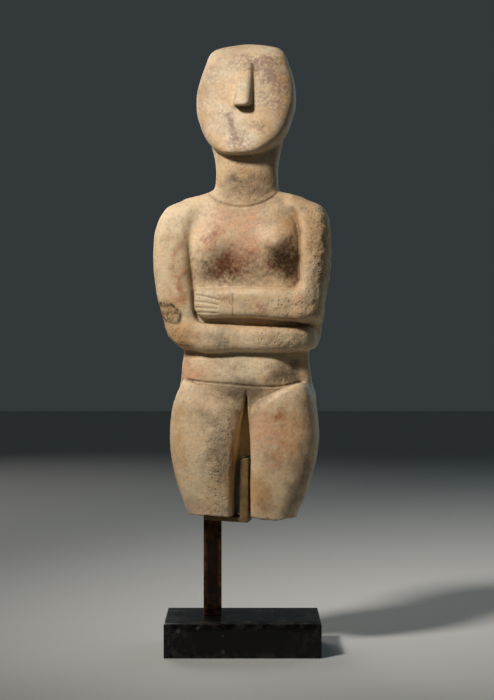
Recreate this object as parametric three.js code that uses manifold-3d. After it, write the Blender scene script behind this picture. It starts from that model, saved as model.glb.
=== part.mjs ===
// A marble folded-arm figurine in the Cycladic manner, broken off above the knees, on its display stand:
// a black block, a square post and an ivory bracket whose shelf and upright hold the left-hand thigh.
//
// Millimetres, +Z up. The origin is the centre of the stand block's underside, and the figure faces -Y.
// The figure and its bracket are turned a little about Z, so both are drawn in a turned group whose
// heights are still measured from the stand's underside.
import * as THREE from "three";
import { mergeVertices } from "three/addons/utils/BufferGeometryUtils.js";
import Module from "manifold-3d";

const wasm = await Module();
wasm.setup();

// ---- Driving dimensions --------------------------------------------------------------------------

const GAP = 0.3; // what pieces that touch keep between them
const TURN = THREE.MathUtils.degToRad(-8); // the figure looks a little to one side
const HEAD_TURN = THREE.MathUtils.degToRad(-3); // and the head a little further

const BLOCK = { width: 80, depth: 50, height: 17.45, chamfer: 0.5 };
const POST = { side: 9.3, x: -15.7, y: 3.05 };

// The bracket is an L: a shelf under the thigh and an upright in the slot between the legs.
const SHELF = { left: -19.2, thick: 2.4, front: -9, back: 7, slope: THREE.MathUtils.degToRad(2.9) };
const UPRIGHT = { left: -0.35, right: 3.95, top: 100, corner: 1.2 };
const SHELF_TOP = 69.5; // height of the shelf's top at x = 0, before it slopes

// Levels of the body, in heights above the stand's underside.
const CREST = 315.5;
const CHIN = 255.9;
const SHOULDER = 234.6;
const BREAK = SHELF_TOP + GAP; // where the left-hand thigh ends, at x = 0

// ---- Solids --------------------------------------------------------------------------------------

// A closed three.js geometry as a manifold-3d solid.
function solid(geometry) {
  const bare = geometry.clone();
  bare.deleteAttribute("normal");
  bare.deleteAttribute("uv");
  const merged = mergeVertices(bare, 1e-4);
  const triVerts = new Uint32Array(merged.index.array);
  const build = () =>
    new wasm.Manifold(
      new wasm.Mesh({ numProp: 3, vertProperties: merged.attributes.position.array, triVerts }),
    );
  const made = build();
  if (made.volume() > 0) return made;
  for (let i = 0; i < triVerts.length; i += 3) {
    [triVerts[i + 1], triVerts[i + 2]] = [triVerts[i + 2], triVerts[i + 1]];
  }
  return build();
}

// A manifold-3d solid as a three.js geometry.
function geometryOf(made) {
  const mesh = made.getMesh();
  const geometry = new THREE.BufferGeometry();
  geometry.setAttribute("position", new THREE.BufferAttribute(new Float32Array(mesh.vertProperties), 3));
  geometry.setIndex(new THREE.BufferAttribute(new Uint32Array(mesh.triVerts), 1));
  return geometry;
}

// A signed power, which squares up a circle's sine or cosine.
const squared = (value, power) => Math.sign(value) * Math.abs(value) ** power;

// Sections stacked through stations, as a solid. A station is [level, middle, half width, front, back]:
// front and back are depths, and the section between them is an oval whose squareness is 2 for an
// ellipse and more for a fuller outline. lay puts (across, depth, level) into the figure's own axes.
function loft(stations, { sides, step, squareFront = 2.6, squareBack = squareFront, lay }) {
  const levels = stations.map(([level]) => level);
  const shape = new THREE.CubicInterpolant(levels, stations.flatMap((row) => row.slice(1)), 4);
  const rings = [levels[0]];
  for (let i = 1; i < levels.length; i += 1) {
    const gap = levels[i] - levels[i - 1];
    const count = Math.max(1, Math.round(Math.abs(gap) / step));
    for (let k = 1; k <= count; k += 1) rings.push(levels[i - 1] + (gap * k) / count);
  }
  const tube = new THREE.CylinderGeometry(1, 1, 1, sides, rings.length - 1);
  const place = tube.attributes.position;
  for (let i = 0; i < place.count; i += 1) {
    const level = rings[Math.round((place.getY(i) + 0.5) * (rings.length - 1))];
    const [middle, half, front, back] = shape.evaluate(level);
    const reach = Math.hypot(place.getX(i), place.getZ(i)) > 0.5 ? 1 : 0;
    const power = 2 / (place.getZ(i) > 0 ? squareBack : squareFront);
    const across = middle + reach * half * squared(place.getX(i), power);
    const depth = (front + back) / 2 + (reach * (back - front) * squared(place.getZ(i), power)) / 2;
    place.setXYZ(i, ...(lay ? lay(across, depth, level) : [across, depth, level]));
  }
  return solid(tube);
}

// A flat outline in x and z pushed through from one depth to another.
function slab(outline, front, back) {
  const shape = new THREE.Shape(outline.map(([x, z]) => new THREE.Vector2(x, z)));
  const pushed = new THREE.ExtrudeGeometry(shape, { depth: back - front, bevelEnabled: false });
  return solid(pushed.rotateX(Math.PI / 2).translate(0, back, 0));
}

// ---- The marble figure ---------------------------------------------------------------------------

// Chest, belly and hips as one slab, narrower and shallower than the arms and thighs laid on it.
function torso() {
  return loft(
    [
      [101, 1.5, 15, -3, 9],
      [118, 1.5, 17, -6, 11],
      [124, 1.4, 25, -11.6, 15],
      [131, 1.8, 33, -13.4, 16],
      [140, 1.8, 33.8, -14.6, 14.6],
      [148, 1.6, 32.8, -14.2, 13],
      [155, 1.8, 32.2, -13.6, 12.6],
      [164, 1, 35.2, -13.2, 12.4],
      [182, 0.2, 38, -12.6, 12.6],
      [206, -0.4, 41, -12.2, 13.8],
      [222, -0.2, 39.6, -11.6, 13.2],
      [230, 0.8, 35.6, -10.4, 11.6],
      [SHOULDER, 1.6, 29, -8.4, 9.2],
      [SHOULDER + 3, 1.2, 17.8, -6.8, 7.6],
    ],
    { sides: 30, step: 7, squareFront: 3 },
  );
}

// A thigh, full at the hip and cut to a point at the groin, from stations of level, outer edge,
// inner edge, front and back. The slot cuts its inner face flat.
function thigh(stations, bottom = []) {
  const rows = stations.map(([level, outer, inner, front, back]) => [
    level,
    (outer + inner) / 2,
    Math.abs(outer - inner) / 2,
    front,
    back,
  ]);
  return loft([...bottom, ...rows], { sides: 20, step: 6.5, squareFront: 3.1, squareBack: 2.6 });
}

function leftThigh() {
  return thigh([
    [66, -25.4, -3.2, -14, 13],
    [74, -28.8, -3.1, -15.6, 14.2],
    [91, -34.6, -2.9, -17.6, 16],
    [108, -37.3, -1.4, -18.4, 17.2],
    [121, -36.6, 0.2, -17.6, 17.6],
    [127.5, -35.2, -1.2, -16.8, 16.8],
    [132.5, -34.5, -7.5, -16.4, 15.8],
    [136.6, -33.6, -15.5, -15.6, 14.6],
    [139.2, -32.6, -24, -12.4, 11],
  ]);
}

function rightThigh() {
  const bottom = [
    [68.1, 17, 4, -9, 8],
    [69.1, 17, 9.4, -12.6, 11.2],
  ];
  return thigh([
    [71.5, 28.6, 3.5, -15.2, 13.8],
    [79, 32.4, 3.6, -16.4, 14.8],
    [93, 36.6, 3.7, -17.8, 16.2],
    [108, 39.4, 4.4, -18.4, 17.2],
    [120, 39, 4.6, -17.8, 17.6],
    [126.5, 38.3, 6, -16.8, 16.8],
    [131.5, 37.6, 12, -16.2, 15.8],
    [135.6, 36.7, 20.5, -15.4, 14.6],
    [138.2, 35.4, 28, -12.4, 11],
  ], bottom);
}

// The upper arms hang from square shoulders and bulge past the chest.
function leftArm() {
  return loft(
    [
      [155, -27, 3, -8, 5],
      [157, -28, 5.4, -12, 9],
      [162, -29.7, 8.1, -14.8, 11],
      [171, -31.3, 9.5, -15.4, 11.6],
      [188, -34.4, 10.3, -15.2, 12.4],
      [207, -35.9, 10.3, -14.8, 13.2],
      [219, -35.5, 9.8, -13.4, 12.8],
      [226, -33.8, 8.8, -11.4, 11.4],
      [230.8, -31.2, 7, -8, 8.6],
      [233.6, -28.6, 3.4, -4, 5.4],
    ],
    { sides: 16, step: 7.5, squareFront: 2.8 },
  );
}

function rightArm() {
  return loft(
    [
      [167.6, 34.6, 3.6, -13, 8],
      [170.6, 35, 4.8, -16.4, 11],
      [178, 35.8, 6.8, -17, 12],
      [190, 37.4, 7.2, -16, 12.6],
      [207, 38, 7.8, -15.2, 13.2],
      [219, 37.2, 8.1, -13.8, 12.8],
      [226, 35.4, 8.1, -11.6, 11.4],
      [231.6, 32, 6, -8, 8.6],
      [234, 29, 3, -4, 5.4],
    ],
    { sides: 16, step: 7.5, squareFront: 2.8 },
  );
}

// The forearms cross the waist one above the other. Their stations run along x, and the two
// numbers after the level are the height of the middle and half the height.
const ALONG_X = (across, depth, level) => [level, depth, across];

function upperForearm() {
  return loft(
    [
      [-22.6, 180.6, 6.2, -16.8, 0],
      [-20.6, 180.1, 7.2, -17.8, 0],
      [-8, 180, 7.6, -18.8, 0],
      [12, 179.6, 7.7, -19.4, 0],
      [26, 178.7, 8, -18.8, 0],
      [36, 178.4, 7.8, -16.8, 4],
      [40, 178.6, 6, -13, 6],
    ],
    { sides: 16, step: 9, squareFront: 3.6, lay: ALONG_X },
  );
}

function lowerForearm() {
  return loft(
    [
      [-35.2, 164.6, 4.8, -12, 6],
      [-31.2, 164.2, 6.4, -15.6, 6],
      [-22, 162.5, 7.5, -17.4, 0],
      [0, 161.6, 7, -17.6, 0],
      [20, 161.2, 6.4, -17, 0],
      [31, 161.6, 6.4, -15.6, 4],
      [36, 162.4, 6.3, -12.6, 8],
      [38.4, 163.6, 4.8, -8, 9],
    ],
    { sides: 16, step: 9, squareFront: 2.7, lay: ALONG_X },
  );
}

// Small low breasts: flattened balls sunk in the chest.
function breast(x, z) {
  const ball = new THREE.SphereGeometry(1, 14, 10);
  return solid(ball.scale(10.5, 5.4, 9.5).translate(x, -10.2, z));
}

function neck() {
  return loft(
    [
      [229, 1, 15.4, -10.4, 9],
      [236, 1.7, 17, -11, 10.2],
      [242, 2.2, 16.3, -10.8, 10.6],
      [250, 2.3, 16.3, -10.8, 10.8],
      [256, 2.2, 17.2, -10.4, 11],
      [264, 1.7, 19, -8.6, 11.6],
    ],
    { sides: 20, step: 9, squareFront: 2.2 },
  );
}

// The head is a thick shield leaning back: a flat face, a chin that overhangs the neck, and above
// the brow a slope that meets the back in a nearly level crest.
function head() {
  const shield = loft(
    [
      [CHIN, 0.6, 8, -16.6, 6],
      [CHIN + 1.6, 0.9, 12.4, -17, 9.6],
      [CHIN + 5, 1.4, 16.8, -16.2, 11.4],
      [CHIN + 10, 1.7, 20.8, -14.9, 12.8],
      [CHIN + 18, 1.5, 24.3, -12.6, 13.8],
      [CHIN + 28, 1.5, 26.1, -9.7, 14.6],
      [CHIN + 41, 1.5, 24.3, -5.9, 15],
      [CHIN + 49, 1.5, 21.6, -3.5, 14.8],
      [CHIN + 52.6, 1.4, 20.4, -2, 14.6],
      [CHIN + 56, 1.2, 18, 2.6, 14],
      [CHIN + 58.4, 1.1, 13, 7, 13],
      [CREST, 1.1, 7, 9.2, 12],
    ],
    { sides: 28, step: 7, squareFront: 3.4, squareBack: 2.3 },
  );
  return shield.add(nose());
}

// A straight wedge of a nose: its ridge narrows upward and its underside is flat.
function nose() {
  const bottom = { level: 280.6, ridge: 3.7, root: 5.5, face: -6, reach: -17.8, middle: 2.2 };
  const top = { level: 303.6, ridge: 3.1, root: 3.9, face: -2, reach: -5.8, middle: 2.9 };
  const wedge = new THREE.BoxGeometry(1, 1, 1);
  const place = wedge.attributes.position;
  for (let i = 0; i < place.count; i += 1) {
    const end = place.getZ(i) > 0 ? top : bottom;
    const half = place.getY(i) < 0 ? end.ridge : end.root;
    const depth = place.getY(i) < 0 ? end.reach : end.face;
    place.setXYZ(i, end.middle + Math.sign(place.getX(i)) * half, depth, end.level);
  }
  return solid(wedge);
}

// What is cut away: the slot between the legs, which is only a recess where the legs still join,
// and the break across the left-hand thigh, parallel to the shelf it stands on.
function slotRecess() {
  const outline = [[3.8, 133], [4, 121], [4.8, 110], [5.8, 100], [-3.8, 100], [0.4, 121], [3.2, 133]];
  return slab(outline, -30, 1);
}

function slotThrough() {
  return slab([[5.8, 100.5], [6.1, 60], [-5, 60], [-4.7, 80], [-3.8, 100.5]], -30, 30);
}

function slotBehind() {
  return slab([[4.3, 124], [5.8, 100], [-3.8, 100], [0.4, 119]], 9.5, 30);
}

function breakBelow() {
  const slope = Math.tan(SHELF.slope);
  return slab([[-50, BREAK + 50 * slope], [0.8, BREAK - 0.8 * slope], [0.8, 50], [-50, 50]], -30, 30);
}

function figure() {
  const turned = head().translate([-2, 0, 0]).rotate([0, 0, THREE.MathUtils.radToDeg(HEAD_TURN)]);
  const pieces = [
    leftThigh(),
    rightThigh(),
    leftArm(),
    rightArm(),
    upperForearm(),
    lowerForearm(),
    breast(-13, 209.4),
    breast(20.2, 211.2),
    neck(),
    turned.translate([2, 0, 0]),
  ];
  const carved = pieces.reduce((whole, piece) => whole.add(piece), torso());
  const cuts = [slotRecess(), slotThrough(), slotBehind(), breakBelow()];
  return cuts.reduce((whole, cut) => whole.subtract(cut), carved);
}

// ---- The stand -----------------------------------------------------------------------------------

// A chamfered block: the outline shrinks by the chamfer at its top and bottom edges.
function standBlock() {
  const { width, depth, height, chamfer } = BLOCK;
  const shape = new THREE.Shape();
  const [w, d] = [width / 2 - chamfer, depth / 2 - chamfer];
  shape.moveTo(-w, -d).lineTo(w, -d).lineTo(w, d).lineTo(-w, d).closePath();
  const block = new THREE.ExtrudeGeometry(shape, {
    depth: height - 2 * chamfer,
    bevelEnabled: true,
    bevelThickness: chamfer,
    bevelSize: chamfer,
    bevelSegments: 1,
  });
  return solid(block.translate(0, 0, chamfer));
}

// The shelf's underside at a distance x along it.
const shelfUnder = (x) => SHELF_TOP - SHELF.thick - x * Math.tan(SHELF.slope);

// A square bar whose top is cut to the slope of the shelf above it.
function post() {
  const [left, right] = [POST.x - POST.side / 2, POST.x + POST.side / 2];
  const foot = BLOCK.height + GAP;
  const clear = GAP + 0.1;
  const outline = [
    [left, foot],
    [right, foot],
    [right, shelfUnder(right) - clear],
    [left, shelfUnder(left) - clear],
  ];
  return slab(outline, POST.y - POST.side / 2, POST.y + POST.side / 2);
}

// One plate: the sloping shelf, and the upright with a rounded outer top corner.
function cradle() {
  const { left, right, top, corner } = UPRIGHT;
  const slope = Math.tan(SHELF.slope);
  const round = 4;
  const outline = [
    [SHELF.left, shelfUnder(SHELF.left)],
    [right, shelfUnder(right)],
    [right, top],
  ];
  for (let i = 0; i <= round; i += 1) {
    const angle = (Math.PI / 2) * (1 + i / round);
    outline.push([left + corner * (1 + Math.cos(angle)), top - corner * (1 - Math.sin(angle))]);
  }
  outline.push([left, SHELF_TOP - left * slope], [SHELF.left, SHELF_TOP - SHELF.left * slope]);
  return slab(outline, SHELF.front, SHELF.back);
}

// ---- The scene graph -----------------------------------------------------------------------------

const MARBLE = new THREE.MeshStandardMaterial({ color: 0xd8c3a0, roughness: 0.6 });
const IVORY_PAINT = new THREE.MeshStandardMaterial({ color: 0xb9ab8c, roughness: 0.55 });
const DARK_BRONZE = new THREE.MeshStandardMaterial({ color: 0x1c120c, roughness: 0.3, metalness: 0.8 });
const BLACK_POLISH = new THREE.MeshStandardMaterial({ color: 0x0b0a0b, roughness: 0.15 });

function piece(name, made, material) {
  const mesh = new THREE.Mesh(geometryOf(made), material);
  mesh.name = name;
  return mesh;
}

const held = new THREE.Group();
held.rotation.z = TURN;
held.add(piece("marble_figure", figure(), MARBLE));
held.add(piece("mount_cradle", cradle(), IVORY_PAINT));

const model = new THREE.Group();
model.add(held);
model.add(piece("mount_post", post(), DARK_BRONZE));
model.add(piece("stand_base", standBlock(), BLACK_POLISH));

export default model;
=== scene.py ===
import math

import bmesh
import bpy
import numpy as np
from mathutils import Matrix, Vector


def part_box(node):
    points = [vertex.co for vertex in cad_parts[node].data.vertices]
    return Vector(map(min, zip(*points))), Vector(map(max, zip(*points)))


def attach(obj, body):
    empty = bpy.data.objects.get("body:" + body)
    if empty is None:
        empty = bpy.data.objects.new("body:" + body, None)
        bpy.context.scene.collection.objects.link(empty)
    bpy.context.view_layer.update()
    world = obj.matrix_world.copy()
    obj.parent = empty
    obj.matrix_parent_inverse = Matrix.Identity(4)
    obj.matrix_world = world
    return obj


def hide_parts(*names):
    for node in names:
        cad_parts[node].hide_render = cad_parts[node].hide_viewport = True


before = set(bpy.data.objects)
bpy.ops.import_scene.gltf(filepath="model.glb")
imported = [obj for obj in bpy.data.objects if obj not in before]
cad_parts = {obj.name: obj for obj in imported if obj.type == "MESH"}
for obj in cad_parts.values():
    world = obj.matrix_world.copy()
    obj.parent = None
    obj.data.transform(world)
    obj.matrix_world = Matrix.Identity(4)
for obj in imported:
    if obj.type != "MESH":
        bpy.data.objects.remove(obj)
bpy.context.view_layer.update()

# A marble folded-arm figurine on its stand. The marble is carved as one solid: soft forms laid over
# each other, then incised lines, then weathering, all worked out in the figure's own frame in
# millimetres (+Z up from the stand's underside, -Y where the figure faces, before its turn on the
# stand), and turned and scaled into the frame at the end.

MM = 0.001
TURN = math.radians(-8)  # how far the figure and its bracket are turned on the stand
HEAD_TURN = math.radians(-3)  # and the head a little further
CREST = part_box("marble_figure")[1].z / MM
CHIN = CREST - 59.6
SHOULDER = CREST - 80.9

# The bracket is an L, cut from one plate: a shelf under the thigh and an upright between the legs.
SHELF_SLOPE = math.tan(math.radians(2.9))
SHELF_TOP = 69.5  # height of the shelf's top where x is 0
SHELF_LEFT, SHELF_THICK = -19.2, 2.4
UPRIGHT_LEFT, UPRIGHT_RIGHT, UPRIGHT_TOP = -0.35, 3.95, 100.0
PLATE_FRONT, PLATE_BACK = -9.0, 7.0
GAP = 0.3  # what pieces that touch keep between them
RIGHT_BREAK = 68.1  # lowest level of the thigh that hangs free

CELL = 0.87  # spacing of the carved surface's points
FINE_BAND = 1.5  # how near an incised line the spacing is halved


# ---- Smooth forms --------------------------------------------------------------------------------


def smooth_rows(stations, pitch=0.25):
    """Stations joined by one smooth curve for each column, sampled evenly along the first column."""
    rows = np.array(stations, float)
    level, values = rows[:, 0], rows[:, 1:]
    secant = np.diff(values, axis=0) / np.diff(level)[:, None]
    slope = np.empty_like(values)
    slope[0], slope[-1] = secant[0], secant[-1]
    before, after = np.diff(level)[:-1, None], np.diff(level)[1:, None]
    slope[1:-1] = (secant[:-1] * after + secant[1:] * before) / (before + after)
    at = np.arange(level[0], level[-1] + pitch / 2, pitch)
    at[-1] = level[-1]
    i = np.clip(np.searchsorted(level, at, "right") - 1, 0, len(level) - 2)
    span = (level[i + 1] - level[i])[:, None]
    t = (at - level[i])[:, None] / span
    made = (
        values[i] * (1 + 2 * t) * (1 - t) ** 2
        + slope[i] * span * t * (1 - t) ** 2
        + values[i + 1] * t * t * (3 - 2 * t)
        + slope[i + 1] * span * t * t * (t - 1)
    )
    return at, made


class Form:
    """Oval sections through stations of level, middle, half width, front and back.

    Called with points it gives about how far each lies outside the form. The levels run up Z, or
    along X for a forearm, and square is how full the oval is in front and behind (2 is an ellipse).
    A slant sets the front further back by that much at the section's far side.
    """

    def __init__(self, stations, square=(2.6, 2.6), along="z", turn=0.0, about=0.0, slant=0.0):
        self.at, self.rows = smooth_rows(stations)
        self.slant = slant
        self.square = square
        self.along = along
        self.turn = turn
        self.about = about

    def __call__(self, x, y, z):
        if self.turn:
            c, s = math.cos(self.turn), math.sin(self.turn)
            x, y = self.about + c * (x - self.about) + s * y, c * y - s * (x - self.about)
        level, across = (z, x) if self.along == "z" else (x, z)
        middle, half, front, back = (np.interp(level, self.at, self.rows[:, k]) for k in range(4))
        front = front + self.slant * np.clip((across - middle) / half, -1, 1)
        deep = (back - front) / 2
        u = np.abs(across - middle) / half
        v = (y - (front + back) / 2) / deep
        power = np.where(v < 0, self.square[0], self.square[1])
        v = np.abs(v)
        r = np.maximum((u**power + v**power) ** (1 / power), 0.05)
        lean = np.hypot((u / r) ** (power - 1) / half, (v / r) ** (power - 1) / deep)
        side = (r - 1) / lean
        end = np.maximum(self.at[0] - level, level - self.at[-1])
        return np.hypot(np.maximum(side, 0), np.maximum(end, 0)) + np.minimum(np.maximum(side, end), 0)


def join(a, b, soft):
    """Two distances joined, with a fillet of about this size in the corner."""
    near = np.maximum(soft - np.abs(a - b), 0) / soft
    return np.minimum(a, b) - near * near * soft / 4


def cut(a, b, soft):
    """The first form less the second, with the edge eased by about this size."""
    return -join(-a, b, soft)


def meet(a, b, soft):
    """What two forms share, with the edge eased by about this size."""
    return -join(-a, -b, soft)


def ramp(value, low, high):
    """0 below low, 1 above high, smooth between; low may be the larger."""
    t = np.clip((value - low) / (high - low), 0, 1)
    return t * t * (3 - 2 * t)


def mound(x, z, cx, cz, rx, rz, angle=0.0, power=2.0):
    """1 in the middle of an oval patch in x and z, fading to 0 past its radii."""
    c, s = math.cos(math.radians(angle)), math.sin(math.radians(angle))
    u = ((x - cx) * c + (z - cz) * s) / rx
    v = ((z - cz) * c - (x - cx) * s) / rz
    return np.exp(-np.hypot(u, v) ** power)


# ---- The forms of the body -----------------------------------------------------------------------

TORSO = Form(
    [
        [101, 1.5, 15, -3, 9],
        [118, 1.5, 17, -6, 11],
        [124, 1.4, 25, -9.4, 15],
        [131, 1.8, 33.0, -11.0, 16],
        [137, 1.8, 33.4, -13.4, 15.2],
        [141, 1.8, 33.6, -14.4, 14.6],
        [148, 1.6, 33.0, -13.6, 13],
        [155, 1.8, 32.6, -11.6, 12.6],
        [164, 1.6, 36.4, -10.8, 12.4],
        [182, 0.2, 38, -10.8, 12.6],
        [206, -0.4, 41, -10.4, 13.8],
        [222, -0.2, 39.6, -10.2, 13.2],
        [230, 0.8, 34.8, -9.6, 11.6],
        [SHOULDER, 1.6, 27.4, -8, 9.2],
        [SHOULDER + 3, 1.2, 17.8, -6.6, 7.6],
    ],
    square=(2.75, 2.8),
    slant=1.0,
)
CHEST = Form(
    [
        [168, 3.4, 26, -11, 0],
        [176, 3.4, 28, -12.6, 0],
        [190, 3.2, 28.4, -13.2, 0],
        [206, 2.8, 28.4, -13.8, 0],
        [218, 2.4, 27.4, -13.2, 0],
        [226, 2, 24, -11.8, 0],
        [232, 1.6, 18, -10.2, 0],
    ],
    square=(2.7, 2.7),
)
NECK = Form(
    [
        [226, 1, 14.4, -10.2, 9],
        [232, 1.2, 16.2, -11, 10],
        [237, 1.8, 16.6, -11, 10.4],
        [242, 2.2, 16.2, -10.8, 10.6],
        [250, 2.3, 16.2, -10.8, 10.8],
        [256, 2.2, 17.2, -10.4, 11],
        [266, 1.6, 19.6, -8, 11.8],
    ],
    square=(2.2, 2.2),
)
HEAD = Form(
    [
        [CHIN, 0.6, 6, -15.6, 2],
        [CHIN + 0.7, 0.7, 9.6, -16.8, 6.4],
        [CHIN + 2, 0.9, 12.8, -16.9, 9.6],
        [CHIN + 5, 1.4, 16.8, -16.2, 11.4],
        [CHIN + 10, 1.7, 20.7, -14.9, 12.8],
        [CHIN + 18, 1.5, 24.2, -12.6, 13.8],
        [CHIN + 28, 1.5, 25.9, -9.7, 14.6],
        [CHIN + 41, 1.5, 24.2, -5.9, 15],
        [CHIN + 49, 1.5, 21.5, -3.5, 14.8],
        [CHIN + 52.6, 1.4, 20.3, -2, 14.6],
        [CHIN + 55.2, 1.2, 18.6, 1.2, 14.2],
        [CHIN + 57.2, 1.1, 15.6, 4.6, 13.6],
        [CHIN + 58.7, 1.1, 9.6, 7.4, 12.8],
        [CREST, 1.1, 3.0, 9.2, 11.8],
    ],
    square=(3.1, 2.3),
    turn=HEAD_TURN,
    about=2.0,
)
LEFT_ARM = Form(
    [
        [155.6, -27, 2, -6, 5],
        [157.6, -27.6, 4.4, -12, 9],
        [162.5, -29.2, 7.6, -14.8, 11],
        [171, -31.2, 9.3, -15.4, 11.6],
        [188, -34.1, 10.1, -15.2, 12.4],
        [207, -35.6, 10.1, -14.8, 13.2],
        [219, -35.0, 9.4, -13.4, 12.8],
        [226, -33, 8.2, -11.4, 11.4],
        [230.6, -30.2, 6.4, -8, 8.6],
        [233.2, -27.6, 2.4, -3, 4.4],
    ],
    square=(4.0, 2.6),
)
RIGHT_ARM = Form(
    [
        [166, 35.6, 2.8, -1, 8],
        [169.5, 35.8, 4.8, -7, 10],
        [172.4, 35.6, 5.8, -15.8, 11],
        [179, 35.6, 6.6, -17.2, 12],
        [190, 37.4, 7.2, -16.2, 12.6],
        [207, 38, 7.8, -15.2, 13.2],
        [219, 37.2, 8.1, -13.6, 12.8],
        [226, 35.4, 8.1, -11.4, 11.4],
        [231.2, 31.6, 6, -8, 8.6],
        [233.8, 28.4, 2.4, -3, 4.4],
    ],
    square=(2.8, 2.6),
    slant=2.4,
)
UPPER_FOREARM = Form(
    [
        [-22.6, 181.2, 5.2, -16.4, 0],
        [-21.4, 180.5, 6.5, -17.2, 0],
        [-19, 180, 7.3, -17.8, 0],
        [-8, 180, 7.6, -18.8, 0],
        [12, 179.6, 7.7, -19.4, 0],
        [26, 178.7, 8.0, -18.8, 0],
        [35, 178.6, 7.4, -16.8, 4],
        [39.6, 179, 5.0, -12, 6],
    ],
    square=(4.2, 2.6),
    along="x",
)
LOWER_FOREARM = Form(
    [
        [-34.6, 166, 3.2, -11.6, 6],
        [-31, 164.6, 5.8, -15.4, 6],
        [-23, 162.6, 7.2, -17.2, 0],
        [0, 161.6, 7, -17.6, 0],
        [16, 161.2, 6.6, -17.2, 0],
        [24, 161.4, 6.5, -15.8, 2],
        [31, 161.8, 6.4, -12.8, 5],
        [36, 162.6, 6.4, -8.6, 8],
        [38.6, 163.4, 4.8, -4, 9],
        [39.6, 164.2, 2.4, 0, 8],
    ],
    square=(3.0, 2.6),
    along="x",
)


def thigh(stations, slant=0.0):
    """A leg from stations of level, outer edge, inner edge, front and back."""
    rows = [[z, (a + b) / 2, abs(a - b) / 2, front, back] for z, a, b, front, back in stations]
    return Form(rows, square=(3.2, 2.5), slant=slant)


LEFT_THIGH = thigh(
    [
        [66, -25.4, 0.2, -14, 13],
        [74, -28.8, 0.4, -15.6, 14.2],
        [91, -34.6, 0.6, -17.6, 16],
        [108, -37.3, 0.6, -18.4, 17.2],
        [121, -36.8, 0.8, -17.8, 17.6],
        [127.5, -35.5, -2.2, -17.8, 16.8],
        [132.5, -33.8, -8.6, -17.2, 15.8],
        [136.4, -31.9, -15.5, -16.4, 14.2],
        [138.8, -30.5, -22.0, -15.2, 12],
        [140.2, -29.4, -25.6, -13.2, 9],
    ]
)
RIGHT_THIGH = thigh(
    [
        [66, 27, 3.6, -14, 13],
        [71.5, 28.6, 3.5, -15.2, 13.8],
        [79, 32.4, 3.6, -16.4, 14.8],
        [93, 36.6, 3.7, -17.8, 16.2],
        [108, 39.4, 4.4, -18.4, 17.2],
        [120, 39, 4.6, -17.8, 17.6],
        [126.5, 38.3, 6.0, -17.8, 16.8],
        [131.5, 37.6, 12, -17.4, 15.8],
        [135.4, 36.0, 20.5, -16.4, 14.4],
        [137.6, 34.7, 26, -15.0, 12.6],
        [139.0, 33.4, 29.4, -12.8, 9],
    ],
    slant=1.8,
)


def nose(x, y, z):
    """A wedge: a flat ridge that narrows and sinks upward, sloping sides and a flat underside."""
    c, s = math.cos(HEAD_TURN), math.sin(HEAD_TURN)
    x, y = 2.0 + c * (x - 2.0) + s * y, c * y - s * (x - 2.0)
    low, high = CHIN + 24.9, CHIN + 48
    t = np.clip((z - low) / (high - low), 0, 1)
    middle = 2.1 + 0.9 * t
    ridge = -16.9 + 11.2 * t
    root = 3.7 - 0.6 * t
    flank = (np.abs(x - middle) - root - 0.2 * (y - ridge)) / 1.03
    wedge = meet(flank, (ridge - y) / 1.12, 2.4)
    wedge = meet(wedge, (low - z + 0.12 * (y + 12)), 1.6)
    return np.maximum.reduce([wedge, z - high, y - 2])


def slot(x, y, z):
    """The gap between the legs: a recess where they still join, open right through lower down."""
    left = np.interp(z, [60, 80, 100, 112, 121, 128, 135], [-5.0, -4.7, -3.8, -2.4, 0.4, 2.0, 3.5])
    left = left + 0.15 * np.clip(y + 13, 0, 22) * ramp(z, 121, 108)
    right = np.interp(z, [60, 100, 108, 115, 121, 128, 135], [6.1, 5.8, 5.0, 4.3, 3.9, 3.8, 3.7])
    middle = (left + right) / 2
    wide = np.abs(x - middle) - (right - left) / 2
    recess_top, through_top, rear_top = 134.6, 100.5, 124
    recess = np.maximum.reduce([wide, y - 1, z - recess_top])
    through = np.maximum(wide, z - through_top)
    behind = np.maximum.reduce([wide - 0.6, 9.5 - y, z - rear_top])
    return np.minimum.reduce([recess, through, behind])


def shelf_top(x):
    """Height of the bracket's shelf at a distance along it."""
    return SHELF_TOP - x * SHELF_SLOPE


def broken_end(x, y, z):
    """Below the breaks: a plane across the thigh on the shelf, a shallow bulge across the other."""
    left = shelf_top(x) + GAP
    right = RIGHT_BREAK + ((x - 17) / 9.5) ** 2 * 1.3 + (y / 14) ** 2 * 0.8
    return z - np.where(x < 1, left, right)


def body(x, y, z):
    """How far points lie outside the figure before any line or weathering."""
    front = ramp(y, -1, -7)
    trunk = join(TORSO(x, y, z), CHEST(x, y, z), 2.5)
    trunk = trunk - 5.2 * front * mound(x, z, -12.9, 208.6, 9.0, 8.2, power=1.6)
    trunk = trunk - 5.2 * front * mound(x, z, 20.0, 210.8, 9.2, 8.4, power=1.6)
    trunk = trunk + 5.5 * front * ramp(x, 15, 31) * mound(x, z, 40, 150, 60, 9.5, power=3)
    trunk = join(trunk, NECK(x, y, z), 3.0)
    lower = join(LEFT_ARM(x, y, z), LOWER_FOREARM(x, y, z), 5.0)
    upper = join(RIGHT_ARM(x, y, z), UPPER_FOREARM(x, y, z), 5.0)
    trunk = join(trunk, lower, 1.2 + 6 * ramp(z, 206, 229))
    trunk = join(trunk, upper, 1.0 + 6 * ramp(z, 220, 231) + 4 * ramp(x, 34, 40))
    legs = np.minimum(LEFT_THIGH(x, y, z), RIGHT_THIGH(x, y, z))
    trunk = join(trunk, legs, 0.9 + 5.0 * ramp(y, -8, 0))
    head = join(HEAD(x, y, z), nose(x, y, z), 1.0)
    whole = join(trunk, head, 0.8)
    whole = cut(whole, slot(x, y, z), 1.2)
    return cut(whole, broken_end(x, y, z), 0.5)


# ---- Incised lines -------------------------------------------------------------------------------


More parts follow.
